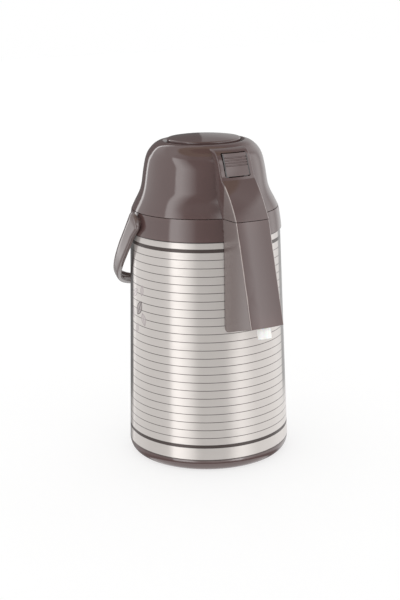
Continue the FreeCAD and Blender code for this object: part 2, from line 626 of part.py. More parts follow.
def vent_seal():
    """Soft disc that shuts the cap's air hole as the plate goes down."""
    return fuse([ring(0, 7.6, BELLOWS_TOP + 2.6, 321.0), ring(0, 5.8, 321.0, 323.0)])


# ---------------------------------------------------------------- latch
def latch_button():
    line = [(ridge_r(a), z) for a, z in LATCH_LINE]
    front = turned([(40.0, line[0][1]), line[0]], ("smooth", line), [line[-1], (40.0, line[-1][1])])
    back = [(r - LATCH_WALL, z) for r, z in line]
    behind = turned([(0.0, line[0][1]), back[0]], ("smooth", back), [back[-1], (0.0, back[-1][1])])
    body = front.cut(behind).common(rounded_bar(LATCH_HALF, LATCH_FOOT, LATCH_HEAD))
    width = rounded_bar(LATCH_HALF - 1.2, LATCH_FOOT, LATCH_HEAD)
    for z in GRIP_HEIGHTS:
        groove = Part.makeTorus(radius_at(line, z) + GRIP_R - GRIP_DEPTH, GRIP_R, Vector(0, 0, z))
        body = body.cut(groove.common(width))
    outside, inside = [(67.0, 302.0), (72.5, 262.0), (72.5, 250.4)], [(69.4, 250.4), (69.4, 262.0)]
    arm = slab([[(64.5, 303.0)] + outside + inside], 12.6)
    hook = slab([[(72.0, 250.4), (73.6, 250.4), (75.6, 254.6), (72.0, 254.6)]], 12.6)
    legs = arm.fuse(hook).cut(box(-8.8, 8.8, -90, -40, 240, 310))
    head, foot = (62.0, LATCH_Z + 2), (63.8, LATCH_Z - 4)
    neck = slab([[(LATCH_A, LATCH_Z + 3), head, foot, (LATCH_A, LATCH_Z - 3.4)]], 10.0)
    body = fuse([body, neck, legs, rod_x(-13.2, 13.2, -LATCH_A, LATCH_Z, 3.4)])
    return body.cut(rod_x(-20, 20, -LATCH_A, LATCH_Z, PIN_R + RUNNING))


def latch_pin():
    return rod_x(-LATCH_PIN_HALF, LATCH_PIN_HALF, -LATCH_A, LATCH_Z, PIN_R)


def latch_spring():
    start = WELL_R + 2.0
    return coil(2.6, 0.8, 64.8 - start, 6, Vector(0, -start, 309.0), Vector(0, -1, 0))


# ---------------------------------------------------------------- handle
def bow(half_w, depth, low, high):
    """Slab with the bow's outline, pivots on X and the bow towards +Y, from low to high."""
    points = []
    for step in range(-12, 13):
        turn = math.radians(7.5 * step)
        x = math.copysign(abs(math.sin(turn)) ** (2 / HANDLE_SQUARE), turn) * half_w
        y = math.cos(turn) ** (2 / HANDLE_SQUARE) * depth if abs(step) < 12 else 0.0
        points.append((x, y))
    outline = face([("smooth", points)], lambda x, y: Vector(x, y, low))
    return outline.extrude(Vector(0, 0, high - low))


def swell(reach):
    """Extra width of the band's far side at a reach from the pivots."""
    rise = min(reach / 14.0, 1.0)
    fall = min(max((reach - 40.0) / 45.0, 0.0), 1.0)
    return HANDLE_BROAD * rise - (HANDLE_BROAD - HANDLE_SLIM) * fall


def bent_slab(margin, start=0.0, steps=16):
    """Slab that follows the handle's side curve from start onwards, margin inside the band's edges."""
    half = HANDLE_BAND / 2 - margin
    lower, upper = [], []
    for i in range(steps + 1):
        reach = start + (HANDLE_DEPTH + 12 - start) * i / steps
        line = HANDLE_RISE + HANDLE_BEND * reach ** 2
        share = min(reach / HANDLE_DEPTH, 1.0)
        lower.append((reach, line - half + HANDLE_TRIM * share ** 4))
        upper.append((reach, line + half + swell(reach) - HANDLE_WAIST * share ** HANDLE_TAPER))
    outline = face([("smooth", lower), ("smooth", upper[::-1])], lambda y, z: Vector(-120, y, z))
    return outline.extrude(Vector(240, 0, 0))


def carry_handle():
    inner_w, inner_d = HANDLE_OUT - HANDLE_THICK, HANDLE_DEPTH - HANDLE_THICK
    hoop = bow(HANDLE_OUT, HANDLE_DEPTH, -60, 90).cut(bow(inner_w, inner_d, -60, 90))
    band = hoop.common(bent_slab(0.0))
    band = band.makeFillet(HANDLE_ROUND, [e for e in band.Edges if e.Length > 100])
    eye = rod_x(inner_w, HANDLE_OUT, 0, 0, HANDLE_EYE)
    eye = eye.makeFillet(HANDLE_ROUND, [e for e in eye.Edges if e.Closed and e.BoundBox.XLength < 1])
    body = band.multiFuse([eye, eye.mirror(Vector(), Vector(1, 0, 0))])
    # channel along the inside of the grip, crossed by ribs
    channel = bow(inner_w + 3.1, inner_d + 3.1, -60, 90).common(bent_slab(2.0, 84.0))
    for step in range(-3, 4):
        channel = channel.cut(box(step * 18 - 0.8, step * 18 + 0.8, 0, 200, -60, 90))
    body = body.cut(channel)
    body = body.cut(both_sides(rod_x(60, HANDLE_OUT - 1.4, 0, 0, PIVOT_R + RUNNING)))
    body.rotate(Vector(), Vector(1, 0, 0), -HANDLE_DROP)
    return body.translated(Vector(0, HANDLE_Y, HANDLE_Z))


def handle_pivots():
    """Shouldered pins, fixed in the collar, that the handle's eyes turn on."""
    pin = rod_x(PIVOT_HEAD[1], HANDLE_OUT - 1.8, HANDLE_Y, HANDLE_Z, PIVOT_R)
    head_in, head_out, shoulder = PIVOT_HEAD
    pin = fuse([pin, rod_x(head_in, head_out, HANDLE_Y, HANDLE_Z, PIVOT_R + shoulder)])
    return Part.makeCompound([pin, pin.mirror(Vector(), Vector(1, 0, 0))])


def hinge_pin():
    return rod_x(-LUG[1], LUG[1], HINGE_Y, HINGE_Z, PIN_R)


# ---------------------------------------------------------------- output
for build in (outer_shell, base_cover, base_plug, liner_outer, liner_inner, liner_cushion, mouth_gasket,
              collar, pour_pipe, spout_tip, stem_tube, valve_cage, spill_ball, pump_seat, pipe_gasket,
              lid_shell, lid_inner_cover, lid_screws, pump_seal, flap_valve, bellows, bellows_spring,
              push_plate, bellows_cap, vent_seal, latch_button, latch_pin, latch_spring, carry_handle,
              handle_pivots, hinge_pin):
    write(build.__name__, build())
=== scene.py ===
"""Looks of the pump pot: materials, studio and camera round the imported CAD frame.

Metres, +Z up, spout towards -Y.
"""

import math

import bpy
from mathutils import Matrix, Vector


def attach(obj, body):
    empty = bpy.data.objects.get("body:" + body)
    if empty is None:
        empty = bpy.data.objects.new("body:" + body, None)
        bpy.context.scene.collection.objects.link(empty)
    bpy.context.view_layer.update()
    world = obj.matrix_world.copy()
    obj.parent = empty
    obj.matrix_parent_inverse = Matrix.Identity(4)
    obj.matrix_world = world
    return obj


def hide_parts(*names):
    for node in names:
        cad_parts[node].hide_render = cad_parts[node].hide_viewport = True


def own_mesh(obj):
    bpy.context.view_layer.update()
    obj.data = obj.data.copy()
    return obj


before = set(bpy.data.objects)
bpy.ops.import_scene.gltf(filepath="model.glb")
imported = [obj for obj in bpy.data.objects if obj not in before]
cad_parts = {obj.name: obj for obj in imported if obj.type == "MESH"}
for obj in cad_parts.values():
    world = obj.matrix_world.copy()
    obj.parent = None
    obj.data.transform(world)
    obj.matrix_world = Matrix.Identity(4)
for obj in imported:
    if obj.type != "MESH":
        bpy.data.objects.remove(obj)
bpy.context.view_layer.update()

# ---------------------------------------------------------------- dimensions
MM = 0.001
VIEW_AZIMUTH = math.radians(28.0)     # the camera stands this far round from the spout
VIEW_DISTANCE = 1.2426                # from the camera to the pot's axis
VIEW_ASIDE = -0.0068                  # the axis passes this far beside the line of sight
VIEW_HEIGHT = 0.495
VIEW_PITCH = math.radians(15.12)
VIEW_ROLL = math.radians(-1.08)
VIEW_LENS = 73.2

STRIPE_FIRST = 36.1 * MM              # lowest pinstripe on the steel
STRIPE_PITCH = 8.367 * MM
STRIPE_COUNT = 23
STRIPE_HALF = 0.36 * MM
PRINT_SOFT = 0.1 * MM                 # softness of the printed edges
# height and half height of the printed bands, and of the painted shade lines at the gaps under the collar and
# over the base
PRINT_BANDS_AND_SHADE_LINES = ((27.0 * MM, 1.75 * MM), (229.3 * MM, 1.85 * MM), (237.8 * MM, 0.8 * MM), (12.3 * MM, 0.7 * MM))

STEEL_R = 80.0 * MM                   # radius at which the print is laid out
STEEL = (0.565, 0.528, 0.503, 1)
STEEL_METAL = 0.45
STEEL_RIM_REFLECTION = (0.10, 0.09, 0.085, 1)    # painted dark reflection where the wall is seen edge on
RIM_FADE = (45.0 * MM, 85.0 * MM)     # the painted dark reflection along the rim comes in between these heights
STRIPE_INK = (0.125, 0.112, 0.106, 1)
# ink of the printed bands, also the colour of the painted shade lines
BAND_AND_SHADE_INK = (0.055, 0.040, 0.036, 1)
LEAF_INK = (0.06, 0.045, 0.045, 1)
LEAF_FILL = (0.27, 0.235, 0.235, 1)
LEAF_ROSE = (0.50, 0.455, 0.45, 1)
LEAF_FAINT = (0.36, 0.31, 0.31, 1)
LEAF_RIM = 0.8 * MM                   # width of a leaf's outline, and half width of its midrib
LEAF_RIB = 0.25 * MM
# printed leaves: faint or bold, place round the steel, height, length, width, lean
LEAVES = (
    (True, -114.0 * MM, 152.5 * MM, 14.0 * MM, 8.0 * MM, -0.35),
    (True, -132.0 * MM, 177.5 * MM, 15.0 * MM, 7.5 * MM, 0.9),
    (True, -138.0 * MM, 156.0 * MM, 15.0 * MM, 8.0 * MM, -0.5),
    (True, -117.0 * MM, 182.0 * MM, 12.0 * MM, 6.0 * MM, 0.2),
    (True, -127.0 * MM, 141.0 * MM, 12.0 * MM, 6.0 * MM, 0.3),
    (False, -122.2 * MM, 163.0 * MM, 18.0 * MM, 9.6 * MM, 0.52),
)

# handle: its plane turns about the pivots; except for the pivot itself, lengths are in millimetres
HANDLE_PIVOT = Vector((0, -1.6, 250.8)) * MM
HANDLE_DROP = math.radians(53.2)      # how far the bow hangs below level behind the pot
HANDLE_OUT = 85.4                     # half width over the outside
HANDLE_DEPTH = 122.6                  # reach of the bow from the pivots
HANDLE_THICK = 5.9
HANDLE_SQUARE = 3.6                   # squareness of the bow's outline, 2 being round
HANDLE_RISE = 1.6                     # the band's middle: height at the pivots, and bend along the reach
HANDLE_BEND = 0.0014
HANDLE_HALF = 8.1                     # half height of the band
HANDLE_TRIM = 2.6                     # what the bow loses on the pot's side, and how late
HANDLE_TRIM_POWER = 4
HANDLE_WAIST = 5.0                    # what the bow loses on the far side, and how late
HANDLE_TAPER = 12
HANDLE_EYE = 9.4                      # radius of the band round the pivots
HANDLE_BROAD = 3.9                    # extra height on the far side near the eyes, and at the bow
HANDLE_SLIM = 1.2
HANDLE_SLIM_FROM = 40.0               # the band slims from this reach, over this length
HANDLE_SLIM_OVER = 45.0
HANDLE_END = 7.5                      # how far the rounded ends pass the pivots
HANDLE_CROWN = 0.6                    # fall of the outside: crown, edges, and facet on the far side
HANDLE_EDGE = 0.8
HANDLE_EDGE_POWER = 10
HANDLE_FACET = 3.0
HANDLE_FACET_POWER = 1.4
HANDLE_FACET_FROM = 0.3               # share of the half height where the facet starts
HANDLE_LIP = 1.3                      # least thickness left by the facet
HANDLE_END_POWER = 4                  # how late the rounded ends fall away
HANDLE_LEAST = 0.05                   # least half height of the band, at the tips
GRIP_FROM = 84.0                      # the channel inside the grip starts at this reach
GRIP_RAMP = 8.0
GRIP_CHANNEL = 3.1                    # its depth
# share of the half height with height above the inner face; then with share of the channel's depth
HANDLE_CORNER = ((1.0, 1.0), (0.985, 0.5), (0.94, 0.1), (0.88, 0.0))
CHANNEL_WALL = ((0.76, 0.0), (0.72, 0.15), (0.69, 1.0), (0.4, 1.0))
OUTSIDE_STEPS = 12                    # steps of the outside's curve on each side of its middle
BOW_STEPS = 160
EYE_STEPS = 10

LATCH_GAP_SHADE_FROM = 12.3 * MM                # painted shade of the gap round the latch button falls beyond this distance from its middle
HOUSING_FRONT = -74.0 * MM            # the spout housing stands in front of this y
HOUSING_FOOT = 100.0 * MM             # and above this height


# ---------------------------------------------------------------- shader helpers
class Shader:
    """One material or world being built from nodes."""

    def __init__(self, owner):
        owner.use_nodes = True
        self.owner = owner
        self.tree = owner.node_tree
        self.tree.nodes.clear()

    def add(self, kind, inputs=None, **settings):
        node = self.tree.nodes.new(kind)
        for name, value in settings.items():
            setattr(node, name, value)
        for key, value in (inputs or {}).items():
            self.feed(node.inputs[key], value)
        return node

    def feed(self, socket, value):
        if isinstance(value, bpy.types.NodeSocket):
            self.tree.links.new(value, socket)
        else:
            socket.default_value = value

    def math(self, operation, a, b=0.0, clamp=False):
        return self.add("ShaderNodeMath", {0: a, 1: b}, operation=operation, use_clamp=clamp).outputs[0]

    def span(self, value, low, high, to_low=0.0, to_high=1.0, smooth=True):
        """value from low..high turned into to_low..to_high, held beyond both ends."""
        node = self.add("ShaderNodeMapRange", {"Value": value, "From Min": low, "From Max": high,
                                               "To Min": to_low, "To Max": to_high})
        node.interpolation_type = "SMOOTHSTEP" if smooth else "LINEAR"
        return node.outputs["Result"]

    def mix(self, share, a, b):
        node = self.add("ShaderNodeMix", data_type="RGBA")
        self.feed(node.inputs["Factor"], share)
        self.feed(node.inputs[6], a)
        self.feed(node.inputs[7], b)
        return node.outputs[2]

    def stretched(self, scale):
        """Object coordinates multiplied by scale, one number per axis."""
        where = self.add("ShaderNodeTexCoord").outputs["Object"]
        return self.add("ShaderNodeMapping", {"Vector": where, "Scale": scale}).outputs["Vector"]

    def noise(self, scale, detail=2.0, roughness=0.5, distortion=0.0):
        inputs = {"Vector": self.stretched(scale), "Scale": 1.0, "Detail": detail, "Roughness": roughness,
                  "Distortion": distortion}
        return self.add("ShaderNodeTexNoise", inputs).outputs[0]

    def ramp(self, value, stops):
        node = self.add("ShaderNodeValToRGB", {"Fac": value})
        elements = node.color_ramp.elements
        while len(elements) < len(stops):
            elements.new(0.5)
        for element, (place, colour) in zip(elements, stops):
            element.position = place
            element.color = colour
        return node.outputs["Color"]

    def bump(self, height, strength, distance):
        inputs = {"Height": height, "Strength": strength, "Distance": distance}
        return self.add("ShaderNodeBump", inputs).outputs["Normal"]

    def axes(self, vector):
        return self.add("ShaderNodeSeparateXYZ", {0: vector}).outputs

    def place(self):
        """X, Y and Z in the object's own coordinates."""
        return self.axes(self.add("ShaderNodeTexCoord").outputs["Object"])

    def surface(self, **sockets):
        """Ends the material with one surface shader, whose sockets are named with _ for each space."""
        body = self.add("ShaderNodeBsdfPrincipled", {k.replace("_", " "): v for k, v in sockets.items()})
        self.add("ShaderNodeOutputMaterial", {"Surface": body.outputs[0]})


def grey(level):
    return (level, level, level, 1.0)


def tone(colour, factor):
    return tuple(c * factor for c in colour[:3]) + (1.0,)


def material(name):
    return Shader(bpy.data.materials.new(name))


# ---------------------------------------------------------------- materials
# grain of each texture: repeats per metre along X, Y and Z
FLOW = (35.0, 35.0, 22.0)
SPECK = (2600.0, 2600.0, 2600.0)
RUB = (90.0, 90.0, 160.0)
RIPPLE = (210.0, 210.0, 210.0)
BRUSH_FINE = (45.0, 45.0, 5200.0)
BRUSH_COARSE = (14.0, 14.0, 900.0)
STEEL_CLOUD = (16.0, 16.0, 9.0)
WIRE_LINES = (2500.0, 160.0, 160.0)
GLASS_CLOUD = (30.0, 30.0, 12.0)
DUST = (300.0, 300.0, 300.0)
RUBBER_GRAIN = (1800.0, 1800.0, 1800.0)
# how far sideways a surface of the spout housing faces: its walls, and its ridges' start and end
WALL_FROM = (0.80, 0.90)
RIDGE_FROM = (0.36, 0.46)
RIDGE_TO = (0.70, 0.85)
# how edge on the steel is seen where it turns to bare metal, and where its painted dark reflection starts
METAL_FROM = (0.64, 0.72)
RIM_FROM = (0.71, 0.79)


def moulded(name, colour, gloss, fleck=0.05, grain=0.012, spread=0.03, gap_shade_from=None, housing=False, **extra):
    """Moulded plastic: faint flow mottling, fine surface ripple, paler worn edges and uneven polish.

    With a side distance given, the piece gets painted shade beyond that distance from its middle, where it
    meets its window.
    With housing, the spout housing's side walls are satin, rougher and lightened by a painted sheen, and its
    ridges carry a painted highlight.
    """
    s = material(name)
    flow = s.noise(FLOW, 3.0, 0.55, 0.6)
    speck = s.noise(SPECK, 1.0)
    base = s.mix(flow, tone(colour, 1 - fleck), tone(colour, 1 + fleck))
    base = s.mix(s.span(speck, 0.62, 0.75, 0.0, 0.35), base, tone(colour, 1.25))
    edge = s.span(s.add("ShaderNodeNewGeometry").outputs["Pointiness"], 0.53, 0.62, 0.0, 0.3)
    base = s.mix(edge, base, tone(colour, 1.6))
    if gap_shade_from:
        # painted shade: the piece is darkened where it meets its window
        across = s.math("ABSOLUTE", s.place()["X"])
        base = s.mix(s.span(across, gap_shade_from, gap_shade_from + 0.3 * MM), base, tone(colour, 0.12))
    rub = s.noise(RUB, 4.0, 0.6)
    polish = s.span(rub, 0.35, 0.7, gloss, gloss + spread)
    if housing:
        wall, ridge_highlight = housing_masks(s)
        # painted sheen lightens the side walls; painted highlight on the ridges
        base = s.mix(wall, base, WALL_SHEEN_BROWN)
        base = s.mix(ridge_highlight, base, RIDGE_HIGHLIGHT_BROWN)
        polish = s.math("ADD", polish, s.math("MULTIPLY", wall, 0.15))
    ripple = s.noise(RIPPLE, 2.0)
    normal = s.bump(ripple, grain, 0.0006)
    s.surface(Base_Color=base, Roughness=polish, Normal=normal, **extra)
    return s.owner


def housing_masks(s):
    """Where the spout housing's side walls are, and where the rounded ridges in front of them are: the places
    of the painted sheen and the painted highlight.
    """
    place = s.place()
    ahead = s.span(place["Y"], HOUSING_FRONT, HOUSING_FRONT - 2 * MM)
    front = s.math("MULTIPLY", ahead, s.math("GREATER_THAN", place["Z"], HOUSING_FOOT))
    sideways = s.math("ABSOLUTE", s.axes(s.add("ShaderNodeNewGeometry").outputs["Normal"])["X"])
    wall = s.math("MULTIPLY", s.span(sideways, *WALL_FROM), front)
    ridge_highlight = s.math("MULTIPLY", s.span(sideways, *RIDGE_FROM), s.span(sideways, *RIDGE_TO, 1.0, 0.0))
    return wall, s.math("MULTIPLY", ridge_highlight, front)


def leaf_mask(s, round_way, z, centre, height, length, width, lean):
    """Where a printed leaf is, and where its outline and midrib are.

    Distances are measured along the steel.
    """
    across = s.math("SUBTRACT", round_way, centre)
    up = s.math("SUBTRACT", z, height)
    c, n = math.cos(lean), math.sin(lean)
    along = s.math("ADD", s.math("MULTIPLY", across, n), s.math("MULTIPLY", up, c))
    along = s.math("DIVIDE", along, length / 2)
    beside = s.math("SUBTRACT", s.math("MULTIPLY", across, c), s.math("MULTIPLY", up, n))
    beside = s.math("ABSOLUTE", beside)
    edge = s.math("MULTIPLY", s.math("SUBTRACT", 1.0, s.math("MULTIPLY", along, along)), width / 2)
    depth = s.math("SUBTRACT", edge, beside)
    inside = s.span(depth, -PRINT_SOFT, PRINT_SOFT)
    rim = s.math("MULTIPLY", inside, s.span(depth, LEAF_RIM, LEAF_RIM + 0.3 * MM, 1.0, 0.0))
    rib = s.math("MULTIPLY", inside, s.span(beside, LEAF_RIB, 2 * LEAF_RIB, 1.0, 0.0))
    return inside, s.math("MAXIMUM", rim, rib)


def print_and_shade_masks(s, z):
    """Where the printed pinstripes are, and where the printed bands and the painted shade lines are."""
    row = s.math("DIVIDE", s.math("SUBTRACT", z, STRIPE_FIRST), STRIPE_PITCH)
    off = s.math("MULTIPLY", s.math("PINGPONG", row, 0.5), STRIPE_PITCH)
    stripe = s.span(off, STRIPE_HALF * 0.75, STRIPE_HALF * 1.25, 1.0, 0.0)
    stripe = s.math("MULTIPLY", stripe, s.math("GREATER_THAN", row, -0.5))
    stripe = s.math("MULTIPLY", stripe, s.math("LESS_THAN", row, STRIPE_COUNT - 0.5))
    band = 0.0
    for height, half in PRINT_BANDS_AND_SHADE_LINES:
        away = s.math("ABSOLUTE", s.math("SUBTRACT", z, height))
        band = s.math("ADD", band, s.span(away, half - PRINT_SOFT, half + PRINT_SOFT, 1.0, 0.0))
    return stripe, band


def brushed_steel(name):
    """Satin steel brushed round the pot, with the printed pinstripes, wide bands and leaf sprig, painted
    shade lines at the gaps under the collar and over the base, and a painted dark reflection along its
    edge-on rim.
    """
    s = material(name)
    place = s.place()
    z = place["Z"]
    round_way = s.math("ARCTAN2", place["X"], s.math("MULTIPLY", place["Y"], -1.0))
    round_way = s.math("MULTIPLY", round_way, STEEL_R)
    stripe, band = print_and_shade_masks(s, z)
    fine = s.noise(BRUSH_FINE, 2.0, 0.6)
    coarse = s.noise(BRUSH_COARSE, 3.0, 0.6)
    cloud = s.noise(STEEL_CLOUD, 2.0)
    base = s.mix(fine, tone(STEEL, 0.95), tone(STEEL, 1.05))
    base = s.mix(s.span(coarse, 0.3, 0.7, 0.0, 0.3), base, tone(STEEL, 0.97))
    base = s.mix(s.span(cloud, 0.3, 0.7, 0.0, 0.3), base, tone(STEEL, 1.03))
    base = s.mix(stripe, base, STRIPE_INK)
    for faint, *leaf in LEAVES:
        inside, line = leaf_mask(s, round_way, z, *leaf)
        base = s.mix(s.math("MULTIPLY", inside, 0.75), base, LEAF_ROSE if faint else LEAF_FILL)
        base = s.mix(line, base, LEAF_FAINT if faint else LEAF_INK)
    # printed bands, and painted shade lines at the gaps under the collar and over the base
    base = s.mix(band, base, BAND_AND_SHADE_INK)
    ink_and_shade = s.math("ADD", s.math("MULTIPLY", stripe, 0.25), band, clamp=True)
    facing = s.add("ShaderNodeLayerWeight", {"Blend": 0.5}).outputs["Facing"]
    metal = s.span(ink_and_shade, 0.0, 1.0, STEEL_METAL, 0.1, smooth=False)
    metal = s.math("MAXIMUM", metal, s.span(facing, *METAL_FROM))
    # painted dark reflection along the rim, where the steel is seen edge on
    rim = s.math("MULTIPLY", s.span(facing, *RIM_FROM), s.span(z, *RIM_FADE))
    base = s.mix(rim, base, STEEL_RIM_REFLECTION)
    rough = s.math("ADD", s.span(coarse, 0.3, 0.7, 0.29, 0.315), s.math("MULTIPLY", ink_and_shade, 0.08))
    scratches = s.math("ADD", fine, s.math("MULTIPLY", coarse, 0.6))
    normal = s.bump(scratches, 0.03, 0.00004)
    round_axis = s.add("ShaderNodeTangent", direction_type="RADIAL", axis="Z").outputs[0]
    s.surface(Base_Color=base, Metallic=metal, Roughness=rough, Normal=normal, Tangent=round_axis,
              Anisotropic=0.95, Anisotropic_Rotation=0.25)
    return s.owner


def drawn_steel(name):
    s = material(name)
    lines = s.noise(WIRE_LINES, 2.0)
    base = s.mix(lines, (0.50, 0.49, 0.48, 1), (0.66, 0.65, 0.63, 1))
    s.surface(Base_Color=base, Metallic=1.0, Roughness=s.span(lines, 0.3, 0.7, 0.22, 0.36),
              Normal=s.bump(lines, 0.1, 0.00005))
    return s.owner


def silvered_glass(name):
    s = material(name)
    cloud = s.noise(GLASS_CLOUD, 4.0, 0.6)
    base = s.mix(cloud, (0.72, 0.74, 0.76, 1), (0.86, 0.88, 0.89, 1))
    s.surface(Base_Color=base, Metallic=0.9, Roughness=s.span(cloud, 0.3, 0.7, 0.04, 0.12),
              Normal=s.bump(cloud, 0.04, 0.001), Coat_Weight=0.6, Coat_Roughness=0.03)
    return s.owner


def soft_rubber(name, colour, roughness):
    s = material(name)
    dust = s.noise(DUST, 4.0, 0.65)
    base = s.mix(s.span(dust, 0.45, 0.75), tone(colour, 0.9), tone(colour, 1.3))
    grain = s.noise(RUBBER_GRAIN, 2.0)
    s.surface(Base_Color=base, Roughness=s.span(dust, 0.3, 0.7, roughness - 0.06, roughness + 0.06),
              Normal=s.bump(grain, 0.15, 0.0001))
    return s.owner


BROWN = (0.095, 0.0555, 0.0525)
# painted sheen of the housing's side walls, and painted highlight of its ridges
WALL_SHEEN_BROWN = (0.165, 0.128, 0.122, 1)
RIDGE_HIGHLIGHT_BROWN = (0.42, 0.36, 0.34, 1)
HANDLE_BROWN = (0.125, 0.088, 0.084)
LOOKS = {
    "brown_plastic": moulded("brown_gloss", BROWN, 0.06, housing=True, Specular_IOR_Level=0.8),
    "dark_plastic": moulded("dark_moulding", (0.030, 0.022, 0.020), 0.42, grain=0.05),
    "brushed_steel": brushed_steel("steel_shell"),
    "pin_steel": drawn_steel("steel_wire"),
    "liner_glass": silvered_glass("silvered_liner"),
    "natural_plastic": moulded("natural_moulding", (0.70, 0.69, 0.64), 0.35, grain=0.03),
    "white_plastic": moulded("white_gloss", (0.84, 0.84, 0.81), 0.14, fleck=0.02, Subsurface_Weight=0.15,
                             Subsurface_Scale=0.002),
    "rubber": soft_rubber("black_rubber", (0.030, 0.030, 0.031), 0.6),
    "silicone": soft_rubber("white_silicone", (0.70, 0.70, 0.67), 0.45),
}
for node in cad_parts.values():
    for holder in node.material_slots:
        holder.material = LOOKS[holder.material.name.split(".")[0]]
# the latch button's gloss, with painted shade where it meets its window
latch_look = moulded("latch_gloss", BROWN, 0.06, gap_shade_from=LATCH_GAP_SHADE_FROM, Specular_IOR_Level=0.8)
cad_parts["latch_button"].material_slots[0].material = latch_look


# ---------------------------------------------------------------- new pieces
def mesh_object(name, verts, faces, smooth=False):
    data = bpy.data.meshes.new(name)
    data.from_pydata(verts, [], faces)
    data.validate()
    if smooth:
        data.polygons.foreach_set("use_smooth", [True] * len(data.polygons))
    made = bpy.data.objects.new(name, data)
    bpy.context.scene.collection.objects.link(made)
    return made


def within(value, low=0.0, high=1.0):
    return min(max(value, low), high)


def handle_station(share):
    """Outer and inner point of the bow, in its plane, at a share of the way from one eye to the other."""
    turn = math.radians(-90 + 180 * share)
    side = math.copysign(abs(math.sin(turn)) ** (2 / HANDLE_SQUARE), turn)
    ahead = max(math.cos(turn), 0.0) ** (2 / HANDLE_SQUARE)
    outer = Vector((side * HANDLE_OUT, ahead * HANDLE_DEPTH))
    inner = Vector((side * (HANDLE_OUT - HANDLE_THICK), ahead * (HANDLE_DEPTH - HANDLE_THICK)))
    return outer, inner


def band_edges(reach):
    """Lower and upper edge of the handle's band at a reach from the pivots."""
    ahead = max(reach, 0.0)
    line = HANDLE_RISE + HANDLE_BEND * ahead ** 2
    share = min(ahead / HANDLE_DEPTH, 1.0)
    slim = within((ahead - HANDLE_SLIM_FROM) / HANDLE_SLIM_OVER)
    lower = line - HANDLE_HALF + HANDLE_TRIM * share ** HANDLE_TRIM_POWER
    upper = line + HANDLE_HALF + HANDLE_BROAD + (HANDLE_SLIM - HANDLE_BROAD) * slim
    upper -= HANDLE_WAIST * share ** HANDLE_TAPER
    round_eye = math.sqrt(max(HANDLE_EYE ** 2 - ahead ** 2, 0.0))
    lower = min(lower, -round_eye) if round_eye else lower
    if reach < 0:
        middle, half = (upper + lower) / 2, (upper - lower) / 2
        half *= math.sqrt(max(1 - (reach / HANDLE_END) ** 2, 0.0))
        return middle - half, middle + half
    return lower, upper


def handle_section(channel, reach):
    """Closed section, anticlockwise, as (share of the half height, depth from the outside)."""
    outside = []
    end = within(-reach / HANDLE_END) ** HANDLE_END_POWER
    for step in range(-OUTSIDE_STEPS, OUTSIDE_STEPS + 1):
        share = math.sin(math.radians(90 * step / OUTSIDE_STEPS))
        facet = max(share - HANDLE_FACET_FROM, 0.0) / (1 - HANDLE_FACET_FROM)
        depth = HANDLE_CROWN * share ** 2 + HANDLE_EDGE * abs(share) ** HANDLE_EDGE_POWER
        depth += HANDLE_FACET * (facet ** HANDLE_FACET_POWER + end)
        outside.append((share, min(depth, HANDLE_THICK - HANDLE_LIP)))
    inside = [(share, HANDLE_THICK - height) for share, height in HANDLE_CORNER]
    inside += [(share, HANDLE_THICK - channel * deep) for share, deep in CHANNEL_WALL]
    return outside + inside + [(-share, depth) for share, depth in inside[::-1]]


def handle_row(outer, inner, spin):
    """The band's section at one station, placed in the frame."""
    channel = within((outer.y - GRIP_FROM) / GRIP_RAMP) * GRIP_CHANNEL
    low, high = band_edges(outer.y)
    half = max((high - low) / 2, HANDLE_LEAST)
    way = (inner - outer).normalized()
    row = []
    for share, depth in handle_section(channel, outer.y):
        at = outer + way * depth
        row.append(HANDLE_PIVOT + spin @ (Vector((at.x, at.y, (low + high) / 2 + share * half)) * MM))
    return row


def carry_handle():
    """Handle with a crowned, faceted outside and a channel along the inside of its grip."""
    stations = [handle_station(i / BOW_STEPS) for i in range(BOW_STEPS + 1)]
    turns = [math.radians(90 * i / EYE_STEPS) for i in range(EYE_STEPS, 0, -1)]
    past = [Vector((0, math.sin(turn) * HANDLE_END)) for turn in turns]
    before = [tuple(point - drop for point in stations[0]) for drop in past]
    after = [tuple(point - drop for point in stations[-1]) for drop in past[::-1]]
    spin = Matrix.Rotation(-HANDLE_DROP, 3, "X")
    table = [handle_row(outer, inner, spin) for outer, inner in before + stations + after]
    rows, count = len(table), len(table[0])
    verts = [point for row in table for point in row]
    faces = []
    for i in range(rows - 1):
        here, there = i * count, (i + 1) * count
        for j in range(count):
            step = (j + 1) % count
            faces.append((here + j, here + step, there + step, there + j))
    faces += [tuple(range(count))[::-1], tuple(range((rows - 1) * count, rows * count))]
    made = mesh_object("carry_handle_band", verts, faces, smooth=True)
    made.data.materials.append(moulded("handle_gloss", HANDLE_BROWN, 0.07, Specular_IOR_Level=1.0))
    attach(made, "handle")
    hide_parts("carry_handle")


def gives_way(name):
    """The bellows or its spring as a live copy hung on the lid, with the imported part hidden."""
    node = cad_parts[name]
    made = bpy.data.objects.new(name + "_live", node.data.copy())
    bpy.context.scene.collection.objects.link(made)
    made.matrix_world = node.matrix_world
    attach(made, "lid")
    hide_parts(name)
    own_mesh(made)


carry_handle()
gives_way("bellows")
gives_way("bellows_spring")


# ---------------------------------------------------------------- studio
FLOOR_HALF = 6.0
FLOOR_GREYS = (0.29, 0.31)
FLOOR_GLOW = 0.69                     # the floor's own light, which keeps it near white
FLOOR_CLOUD = (6.0, 6.0, 6.0)
LIGHT_TOP = 5.0                       # brightness that a panel's colour of 1 stands for
LEAN_FROM = 0.25                      # above this height of view, as a sine, the panels lean round the pot
LEAN = math.radians(62)
